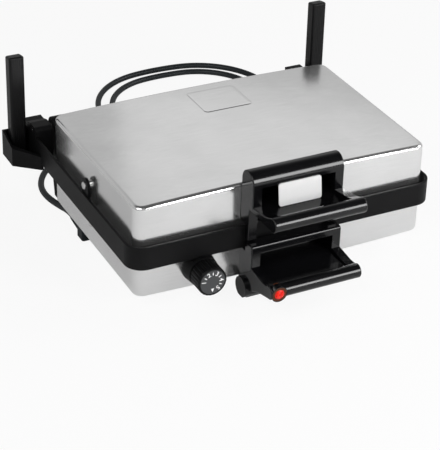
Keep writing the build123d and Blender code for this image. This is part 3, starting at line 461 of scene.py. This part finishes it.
# Meshes from arrays
def add_object(name, data):
    """A new object in the scene for a mesh, curve, lamp or camera."""
    made = bpy.data.objects.new(name, data)
    bpy.context.scene.collection.objects.link(made)
    return made


def mesh_object(name, points, faces, material, smooth=True):
    """A mesh piece at the origin from an array of points and a list of faces."""
    mesh = bpy.data.meshes.new(name)
    mesh.from_pydata(points.reshape(-1, 3).tolist(), [], faces)
    mesh.materials.append(material)
    mesh.polygons.foreach_set("use_smooth", [smooth] * len(mesh.polygons))
    mesh.update()
    return add_object(name, mesh)


def capped_rings(points, flip=False):
    """Points and faces of a stack of closed rings, the last of which has shrunk to one middle point.

    Quads join each ring to the next, and a fan of triangles closes the last step to the middle."""
    rings, columns = points.shape[:2]
    pole = (rings - 1) * columns
    row, column = np.meshgrid(np.arange(rings - 2), np.arange(columns), indexing="ij")
    after = (column + 1) % columns
    quads = np.stack([row * columns + column, row * columns + after,
                      (row + 1) * columns + after, (row + 1) * columns + column], axis=-1).reshape(-1, 4)
    around = np.arange(columns)
    start = pole - columns
    fan = np.stack([start + around, start + (around + 1) % columns, np.full(columns, pole)], axis=-1)
    order = -1 if flip else 1
    faces = quads[:, ::order].tolist() + fan[:, ::order].tolist()
    return points.reshape(-1, 3)[: pole + 1], faces


def corners_and_middle(box):
    """Lowest corner, highest corner and middle of a box, as vectors."""
    low, high = (Vector(corner) for corner in box)
    return low, high, (low + high) / 2


def rounded_outline(half_x, half_y, radius, per_corner, per_side):
    """Points and outward normals round a rectangle with round corners, counter-clockwise.

    Each corner is a quarter circle about its own centre, and the straight sides between them are divided
    evenly."""
    quarter = np.linspace(0.0, math.pi / 2, per_corner)
    points = []
    normals = []
    signs = ((1, 1), (-1, 1), (-1, -1), (1, -1))
    for turn, (sx, sy) in enumerate(signs):
        angle = quarter + turn * math.pi / 2
        normal = np.stack([np.cos(angle), np.sin(angle)], axis=-1)
        centre = np.array([sx * (half_x - radius), sy * (half_y - radius)])
        points.append(centre + radius * normal)
        normals.append(normal)
        nx, ny = signs[(turn + 1) % 4]
        following = np.array([nx * (half_x - radius), ny * (half_y - radius)])
        share = np.linspace(0.0, 1.0, per_side + 2)[1:-1, None]
        side = (turn + 1) * math.pi / 2
        side_normal = np.array([math.cos(side), math.sin(side)])
        points.append(centre * (1 - share) + following * share + radius * side_normal)
        normals.append(np.repeat(side_normal[None, :], per_side, axis=0))
    return np.concatenate(points), np.concatenate(normals)


def housing_skin(name, node, settings, material, above):
    """Outside of one pressing, carried round a rounded rectangle.

    A section runs up the wall, round a quarter circle of the edge radius and in to the middle, with close
    rows where the wall starts and ends so that it stays flat between them. Above the wall's foot the height
    gains a crown that falls with the square of the distance from the middle of the width, and the whole is
    mirrored in height for the base. Solidify then gives the sheet its thickness inwards."""
    low, high, middle = corners_and_middle(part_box(node))
    half_x = (high.x - low.x) / 2
    half_y = (high.y - low.y) / 2
    outline, normals = rounded_outline(half_x, half_y, settings.corner_radius, per_corner=14, per_side=18)
    radius = settings.edge_radius
    crown = settings.crown
    rim = low.z if above else high.z
    turn = np.linspace(0.0, math.pi / 2, EDGE_STEPS)
    wall_top = WALL_HEIGHT - radius
    inward = np.concatenate([[0.0, 0.0, 0.0, 0.0], radius * (1 - np.cos(turn[1:]))])
    wall_rows = [0.0, SUPPORT, wall_top - SUPPORT, wall_top]
    upward = np.concatenate([wall_rows, wall_top + radius * np.sin(turn[1:])])
    follows = np.concatenate([[0.0, 0.0, 1.0, 1.0], np.ones(EDGE_STEPS - 1)])
    rows = []
    for step_in, height, share in zip(inward, upward, follows):
        ring = outline - normals * step_in
        lift = crown * (1 - (ring[:, 0] / half_x) ** 2) * share
        rows.append(np.column_stack([ring, height + lift]))
    inner = outline - normals * radius
    for share in np.concatenate([[FIRST_RING], np.linspace(0.0, 1.0, FACE_RINGS)[1:]]):
        ring = inner * (1 - share)
        lift = crown * (1 - (ring[:, 0] / half_x) ** 2)
        rows.append(np.column_stack([ring, WALL_HEIGHT + lift]))
    points = np.stack(rows)
    points[:, :, 0] += middle.x
    points[:, :, 1] += middle.y
    points[:, :, 2] = rim + points[:, :, 2] * (1 if above else -1)
    piece = mesh_object(name, *capped_rings(points, flip=not above), material)
    sheet = piece.modifiers.new("Sheet", "SOLIDIFY")
    sheet.thickness = settings.wall
    sheet.offset = -1.0
    sheet.use_even_offset = True
    return piece


def raised_panel(name, settings, material):
    """Plain panel pressed up out of the lid: a rounded rectangle whose edge climbs as a half cosine.

    The grid's rings shrink from the outer outline to the middle, and the height follows the lid's crown."""
    low, high, middle = corners_and_middle(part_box("lid_shell"))
    half_x = (high.x - low.x) / 2
    outline, normals = rounded_outline(*PANEL_HALF, PANEL_CORNER, per_corner=10, per_side=14)
    rows = []
    for share in np.linspace(0.0, 1.0, PANEL_CLIMB_ROWS):
        ring = outline - normals * PANEL_SLOPE * share
        lift = settings.panel_height * (1 - math.cos(math.pi * share)) / 2
        rows.append(np.column_stack([ring, np.full(len(ring), lift)]))
    inner = rows[-1][:, :2]
    for share in np.linspace(0.0, 1.0, PANEL_RINGS)[1:]:
        ring = inner * (1 - share)
        rows.append(np.column_stack([ring, np.full(len(ring), settings.panel_height)]))
    points = np.stack(rows)
    points[:, :, 0] += PANEL_PLACE[0]
    points[:, :, 1] += PANEL_PLACE[1]
    top = low.z + WALL_HEIGHT
    points[:, :, 2] += top + settings.crown * (1 - ((points[:, :, 0] - middle.x) / half_x) ** 2)
    return mesh_object(name, *capped_rings(points), material)


def dress(node, material):
    """Gives a CAD node its finish."""
    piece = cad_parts[node]
    piece.data.materials.clear()
    piece.data.materials.append(material)


def dial_centre():
    """Middle of the dial's front face."""
    low, _, middle = corners_and_middle(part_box("knob_dial"))
    return Vector((middle.x, low.y, middle.z))


def flat_on_dial(name, points, faces, material):
    """A thin printed shape on the dial, from points in the dial's plane measured from its axis."""
    centre = dial_centre()
    placed = np.column_stack([centre.x + points[:, 0], np.full(len(points), centre.y - MARK_LIFT),
                              centre.z + points[:, 1]])
    return mesh_object(name, placed, faces, material, smooth=False)


def dial_angles(count):
    """Even places round the dial, clockwise from the left over the top to the lower right."""
    return np.radians(np.linspace(FIRST_NUMBER_ANGLE, LAST_NUMBER_ANGLE, count))


def number_on_dial(index, angle, settings, material):
    """One plain number with its top towards the dial's edge, turned from a text curve into a mesh."""
    text = bpy.data.curves.new(f"dial_number_{index}", "FONT")
    text.body = str(index)
    text.size = settings.number_height * TEXT_SIZE_PER_HEIGHT
    text.align_x = "CENTER"
    text.align_y = "CENTER"
    text.offset = STROKE_OFFSET
    holder = add_object(f"dial_text_{index}", text)
    bpy.context.view_layer.update()
    depsgraph = bpy.context.evaluated_depsgraph_get()
    mesh = bpy.data.meshes.new_from_object(holder.evaluated_get(depsgraph))
    bpy.data.objects.remove(holder)
    centre = dial_centre()
    turn = Matrix.Rotation(angle - math.pi / 2, 4, "Z")
    ring = settings.number_ring
    shift = Matrix.Translation((ring * math.cos(angle), ring * math.sin(angle), 0.0))
    upright = Matrix.Rotation(math.pi / 2, 4, "X")
    place = Matrix.Translation((centre.x, centre.y - NUMBER_LIFT, centre.z))
    mesh.transform(place @ upright @ shift @ turn)
    mesh.materials.clear()
    mesh.materials.append(material)
    return add_object(f"dial_number_{index}", mesh)


# Cord route, in millimetres as the solids have it
HOUSING_FRONT = -128.75
CORD_RADIUS = 4.25
LEAD = (
    (-186.0, 232.0, 10.0), (-186.0, 248.0, 10.0), (-188.5, 270.0, 5.45),
    (-194.0, 294.0, CORD_RADIUS), (-196.0, 316.0, CORD_RADIUS), (-192.0, 338.0, CORD_RADIUS),
    (-180.0, 362.0, CORD_RADIUS), (-160.0, 384.0, CORD_RADIUS), (-133.0, 399.0, CORD_RADIUS),
    (-98.0, 406.0, CORD_RADIUS), (-62.0, 420.0, CORD_RADIUS), (-35.0, 454.0, CORD_RADIUS),
)
COIL_START = (-35.0, 490.0)
COIL_QUARTERS = ((116, 44), (114, 0), (110, 40), (104, 0), (98, 40), (94, 0), (50, 0))
ARC_POINTS = 5
TAIL_STEPS = ((-21.0, CORD_RADIUS), (-61.0, 19.5), (-82.0, 19.5))


def coil_points():
    """Nearly two loose clockwise turns: even points on quarter arcs, and the ends of the straights."""
    x, y = COIL_START
    heading = math.pi / 2
    points = [(x, y, CORD_RADIUS)]
    for radius, straight in COIL_QUARTERS:
        middle_x = x + radius * math.cos(heading - math.pi / 2)
        middle_y = y + radius * math.sin(heading - math.pi / 2)
        for step in range(1, ARC_POINTS + 1):
            angle = heading + math.pi / 2 - step * math.pi / 2 / ARC_POINTS
            arc_x = middle_x + radius * math.cos(angle)
            arc_y = middle_y + radius * math.sin(angle)
            points.append((arc_x, arc_y, CORD_RADIUS))
        x, y = points[-1][:2]
        heading -= math.pi / 2
        if straight:
            x += straight * math.cos(heading)
            y += straight * math.sin(heading)
            points.append((x, y, CORD_RADIUS))
    return points


def cord_points():
    """The whole route in metres: lead, coil and the rise to the plug."""
    coil = coil_points()
    end_x, end_y, _ = coil[-1]
    tail = [(end_x + step, end_y, height) for step, height in TAIL_STEPS]
    return [Vector((x, HOUSING_FRONT + y, z)) * MM for x, y, z in (*LEAD, *coil, *tail)]


def cord_curve(name, points, diameter, material):
    """One NURBS curve of order 3 with the route's points as its control points."""
    curve = bpy.data.curves.new(name, "CURVE")
    curve.dimensions = "3D"
    spline = curve.splines.new("NURBS")
    spline.points.add(len(points) - 1)
    for target, point in zip(spline.points, points):
        target.co = (*point, 1.0)
    spline.order_u = 3
    spline.use_endpoint_u = True
    spline.resolution_u = 10
    curve.bevel_depth = diameter / 2
    curve.bevel_resolution = 6
    curve.materials.append(material)
    return add_object(name, curve)


# Operators
class GRILL_OT_housings(bpy.types.Operator):
    """Make the two satin steel pressings and the raised panel on the lid"""
    bl_idname = "grill.housings"
    bl_label = "Housings"

    def execute(self, context):
        settings = context.scene.grill_housing
        steel = satin_steel("satin_steel", settings.steel, settings.steel_roughness)
        lid = housing_skin("lid_pressing", "lid_shell", settings, steel, above=True)
        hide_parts("lid_shell")
        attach(lid, "lid")
        base = housing_skin("base_pressing", "base_shell", settings, steel, above=False)
        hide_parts("base_shell")
        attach(base, "base")
        panel = raised_panel("lid_panel", settings, steel)
        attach(panel, "lid")
        return {"FINISHED"}


class GRILL_OT_plates(bpy.types.Operator):
    """Finish the grill plates, heating elements, reflectors and their pillars"""
    bl_idname = "grill.plates"
    bl_label = "Plates and heating"

    def execute(self, context):
        coating = non_stick("plate_coating")
        tube = turned_metal("element_tube", (0.24, 0.23, 0.22), 0.42)
        sheet = satin_steel("reflector_sheet", (0.62, 0.62, 0.63), 0.3)
        plated = turned_metal("plated_steel", (0.5, 0.5, 0.49), 0.34)
        for level in ("lower", "upper"):
            dress(f"{level}_grill_plate", coating)
            dress(f"{level}_element", tube)
            dress(f"{level}_reflector", sheet)
            dress(f"{level}_element_straps", plated)
            dress(f"{level}_pillars", plated)
        dress("thermostat", plain_print("switch_body", (0.6, 0.56, 0.48)))
        return {"FINISHED"}


class GRILL_OT_grips(bpy.types.Operator):
    """Finish the two front handles, the white plate and the lamp"""
    bl_idname = "grill.grips"
    bl_label = "Grips and lamp"

    def execute(self, context):
        settings = context.scene.grill_plastic
        gloss = moulded_black("polished_black", settings.grip_black, settings.grip_roughness,
                              grain=0.01, specular=0.4)
        for node in ("upper_handle", "lower_handle"):
            dress(node, gloss)
        dress("badge_plate", plain_print("white_plate", (0.80, 0.80, 0.80), 0.4))
        dress("lamp_lens", lens_red("red_lens"))
        dress("lamp_bezel", amber_bezel("amber_bezel"))
        dress("indicator_lamp", amber_bezel("lamp_bulb"))
        return {"FINISHED"}


class GRILL_OT_lever_frame(bpy.types.Operator):
    """Finish the lever frame, its posts and the rear brackets"""
    bl_idname = "grill.lever_frame"
    bl_label = "Lever frame"

    def execute(self, context):
        settings = context.scene.grill_plastic
        band = moulded_black("band_black", settings.band_black, settings.band_roughness, 0.22)
        post = ribbed_black("post_black", settings.band_black, settings.band_roughness - 0.1,
                            settings.post_rib_pitch)
        for node in ("lever_frame", "rear_bracket_left", "rear_bracket_right", "knob_collar"):
            dress(node, band)
        for node in ("left_post", "right_post"):
            dress(node, post)
        return {"FINISHED"}


class GRILL_OT_hardware(bpy.types.Operator):
    """Finish the screws, pins, plugs and rubber feet"""
    bl_idname = "grill.hardware"
    bl_label = "Fasteners and feet"

    def execute(self, context):
        bright = turned_metal("bright_pin", (0.74, 0.74, 0.73), 0.2)
        plated = turned_metal("plated_screw", (0.52, 0.52, 0.5), 0.32)
        rubber = rubber_skin("foot_rubber", (0.02, 0.02, 0.021))
        for node in ("pivot_screws", "base_side_plugs", "hinge_pins", "thermostat_shaft"):
            dress(node, bright)
        for node in ("lower_handle_screws", "upper_handle_screws", "bracket_screws", "post_screws",
                     "pivot_nuts"):
            dress(node, plated)
        for node in ("front_foot_pads", "rear_foot_pads"):
            dress(node, rubber)
        return {"FINISHED"}


class GRILL_OT_dial(bpy.types.Operator):
    """Finish the knob and print plain numbers, bars and a pointer on its dial"""
    bl_idname = "grill.dial"
    bl_label = "Knob and dial"

    def execute(self, context):
        settings = context.scene.grill_dial
        plastic = context.scene.grill_plastic
        dress("thermostat_knob", moulded_black("knob_black", plastic.band_black, 0.36, 0.12))
        dress("knob_dial", plain_print("dial_grey", settings.disc, 0.42))
        white = plain_print("white_print", (0.88, 0.88, 0.88), 0.5)
        angles = dial_angles(2 * settings.numbers - 1)
        made = []
        for step, angle in enumerate(angles):
            if step % 2 == 0:
                made.append(number_on_dial(step // 2 + 1, angle, settings, white))
            else:
                made.append(self.bar(step, angle, settings, white))
        made.append(self.pointer(settings, white))
        for piece in made:
            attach(piece, "knob")
        return {"FINISHED"}

    @staticmethod
    def bar(step, angle, settings, material):
        """A short bar between two numbers, pointing at the dial's axis."""
        along = np.array([math.cos(angle), math.sin(angle)])
        across = np.array([-along[1], along[0]])
        ring = settings.number_ring
        corners = [ring * along + a * BAR_HALF[0] * along + b * BAR_HALF[1] * across
                   for a, b in ((-1, -1), (1, -1), (1, 1), (-1, 1))]
        return flat_on_dial(f"dial_bar_{step}", np.array(corners), [[0, 1, 2, 3]], material)

    @staticmethod
    def pointer(settings, material):
        """A small triangle at the bottom of the dial that marks the off place."""
        ring = settings.number_ring
        base = POINTER_INWARD - ring
        tip = -ring - POINTER_OUTWARD
        corners = np.array([(-POINTER_HALF_WIDTH, base), (POINTER_HALF_WIDTH, base), (0.0, tip)])
        return flat_on_dial("dial_off_mark", corners, [[0, 2, 1]], material)


class GRILL_OT_cord(bpy.types.Operator):
    """Lay the mains cord with its coil, and finish the strain relief and the plug"""
    bl_idname = "grill.cord"
    bl_label = "Mains cord"

    def execute(self, context):
        settings = context.scene.grill_cord
        sheath = cord_sheath("cord_sheath", settings.sheath)
        moulded = moulded_black("plug_black", settings.sheath, 0.46, 0.2)
        dress("strain_relief", moulded)
        dress("power_plug", moulded)
        dress("plug_pins", turned_metal("pin_metal", (0.78, 0.75, 0.68), 0.22))
        points = cord_points()
        cord = cord_curve("power_cord", points, settings.diameter, sheath)
        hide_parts("power_cord_lead", "power_cord_coil", "power_cord_tail")
        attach(cord, "base")
        return {"FINISHED"}


def camera_matrix(settings):
    """Camera from its place and three angles: turn about the upright, tilt from straight down, then roll."""
    turn = Matrix.Rotation(settings.camera_turn, 4, "Z")
    tilt = Matrix.Rotation(settings.camera_tilt, 4, "X")
    roll = Matrix.Rotation(settings.camera_roll, 4, "Z")
    return Matrix.Translation(settings.camera_place) @ turn @ tilt @ roll


def area_light(name, place, target, size, power):
    """A rectangular lamp that faces a point."""
    light = bpy.data.lights.new(name, "AREA")
    light.shape = "RECTANGLE"
    light.size, light.size_y = size
    light.energy = power
    lamp = add_object(name, light)
    lamp.location = place
    lamp.rotation_euler = (Vector(target) - Vector(place)).to_track_quat("-Z", "Y").to_euler()


def room_shares(paint):
    """Shares of the studio by direction, both falling to 0 overhead: the backdrop behind the grill, and the
    grey walls in front of it, which leave out a dark gap at the front right."""
    x, y, z = (paint.axis_of("Generated", index) for index in range(3))
    behind = y.smoothstep(*BACKDROP_EDGE)
    beside = (x - GAP_MIDDLE).absolute().smoothstep(*GAP_EDGE)
    low = 1.0 - z.smoothstep(*OVERHEAD_EDGE)
    return behind * low, (1.0 - behind) * beside * low


def background_rays(paint):
    """Camera rays, and glossy or transmission rays, as two Values."""
    rays = paint.node("ShaderNodeLightPath")
    seen = Value(paint, rays.outputs["Is Camera Ray"])
    mirrored = Value(paint, rays.outputs["Is Glossy Ray"]).maximum(
        Value(paint, rays.outputs["Is Transmission Ray"]))
    return seen, mirrored


class GRILL_OT_stage(bpy.types.Operator):
    """Set up the pale floor, the soft studio light and the camera"""
    bl_idname = "grill.stage"
    bl_label = "Stage"

    def execute(self, context):
        settings = context.scene.grill_stage
        self.floor(settings)
        self.sky(context.scene, settings)
        for name, place, target, size, power in LAMPS:
            area_light(name, place, target, size, getattr(settings, power))
        self.camera(context.scene, settings)
        context.scene.view_settings.view_transform = "Standard"
        return {"FINISHED"}

    @staticmethod
    def floor(settings):
        """A wide pale floor: mostly plain white to the camera, faintly so where mirrored, with its shadow."""
        reach = FLOOR_REACH
        corners = ((-reach, -reach), (reach, -reach), (reach, reach), (-reach, reach))
        points = np.array([(x, y, -settings.floor_drop) for x, y in corners])
        paint = Paint("pale_floor")
        diffuse = paint.node("ShaderNodeBsdfDiffuse", None, {"Color": FLOOR_COLOR})
        white = paint.node("ShaderNodeEmission", None, {"Color": WHITE, "Strength": 1.0})
        seen, mirrored = background_rays(paint)
        share = seen * settings.floor_seen + mirrored * settings.floor_mirrored
        mix = paint.node("ShaderNodeMixShader", None, {0: share, 1: diffuse.outputs[0], 2: white.outputs[0]})
        paint.tree.links.new(mix.outputs[0], paint.output.inputs["Surface"])
        floor = mesh_object("floor", points, [[0, 1, 2, 3]], paint.material, smooth=False)

    @staticmethod
    def sky(scene, settings):
        """Soft light by direction, plain white where seen and partly so where metal mirrors the backdrop."""
        world = bpy.data.worlds.new("studio")
        world.use_nodes = True
        paint = Paint.over(world.node_tree, "ShaderNodeOutputWorld")
        back, wall = room_shares(paint)
        strength = back * settings.back_strength + wall * settings.wall_strength + settings.room_strength
        soft = paint.node("ShaderNodeBackground", None, {"Color": WHITE, "Strength": strength})
        white = paint.node("ShaderNodeBackground", None, {"Color": WHITE, "Strength": 1.0})
        seen, mirrored = background_rays(paint)
        share = seen + mirrored * back * settings.mirrored_white
        mix = paint.node("ShaderNodeMixShader", None, {0: share, 1: soft.outputs[0], 2: white.outputs[0]})
        paint.tree.links.new(mix.outputs[0], paint.output.inputs["Surface"])
        scene.world = world

    @staticmethod
    def camera(scene, settings):
        """A camera with the photograph's place, angles and framing."""
        data = bpy.data.cameras.new("camera")
        data.sensor_fit = "VERTICAL"
        data.sensor_height = 24.0
        data.lens = settings.focal_pixels * data.sensor_height / settings.photo_height
        data.shift_y = (settings.axis_row - settings.photo_height / 2) / settings.photo_height
        data.clip_end = 50.0
        camera = add_object("camera", data)
        camera.matrix_world = camera_matrix(settings)
        scene.camera = camera


class GRILL_PT_panel(bpy.types.Panel):
    """Lists the grill's pieces"""
    bl_idname = "GRILL_PT_panel"
    bl_label = "Contact grill"
    bl_space_type = "VIEW_3D"
    bl_region_type = "UI"
    bl_category = "Grill"

    def draw(self, context):
        layout = self.layout
        for operator in OPERATORS:
            layout.operator(operator.bl_idname)
        for name in SETTINGS:
            group = getattr(context.scene, name)
            box = layout.box()
            for key in group.__annotations__:
                box.prop(group, key)


OPERATORS = (
    GRILL_OT_housings, GRILL_OT_plates, GRILL_OT_grips, GRILL_OT_lever_frame, GRILL_OT_hardware,
    GRILL_OT_dial, GRILL_OT_cord, GRILL_OT_stage,
)
SETTINGS = {
    "grill_housing": HousingSettings,
    "grill_plastic": PlasticSettings,
    "grill_dial": DialSettings,
    "grill_cord": CordSettings,
    "grill_stage": StageSettings,
}


def register():
    for name, group in SETTINGS.items():
        bpy.utils.register_class(group)
        setattr(bpy.types.Scene, name, PointerProperty(type=group))
    for operator in OPERATORS:
        bpy.utils.register_class(operator)
    bpy.utils.register_class(GRILL_PT_panel)


def unregister():
    bpy.utils.unregister_class(GRILL_PT_panel)
    for operator in reversed(OPERATORS):
        bpy.utils.unregister_class(operator)
    for name, group in SETTINGS.items():
        delattr(bpy.types.Scene, name)
        bpy.utils.unregister_class(group)


def main():
    register()
    for step in ("housings", "plates", "grips", "lever_frame", "hardware", "dial", "cord", "stage"):
        getattr(bpy.ops.grill, step)()


if __name__ == "__main__":
    main()
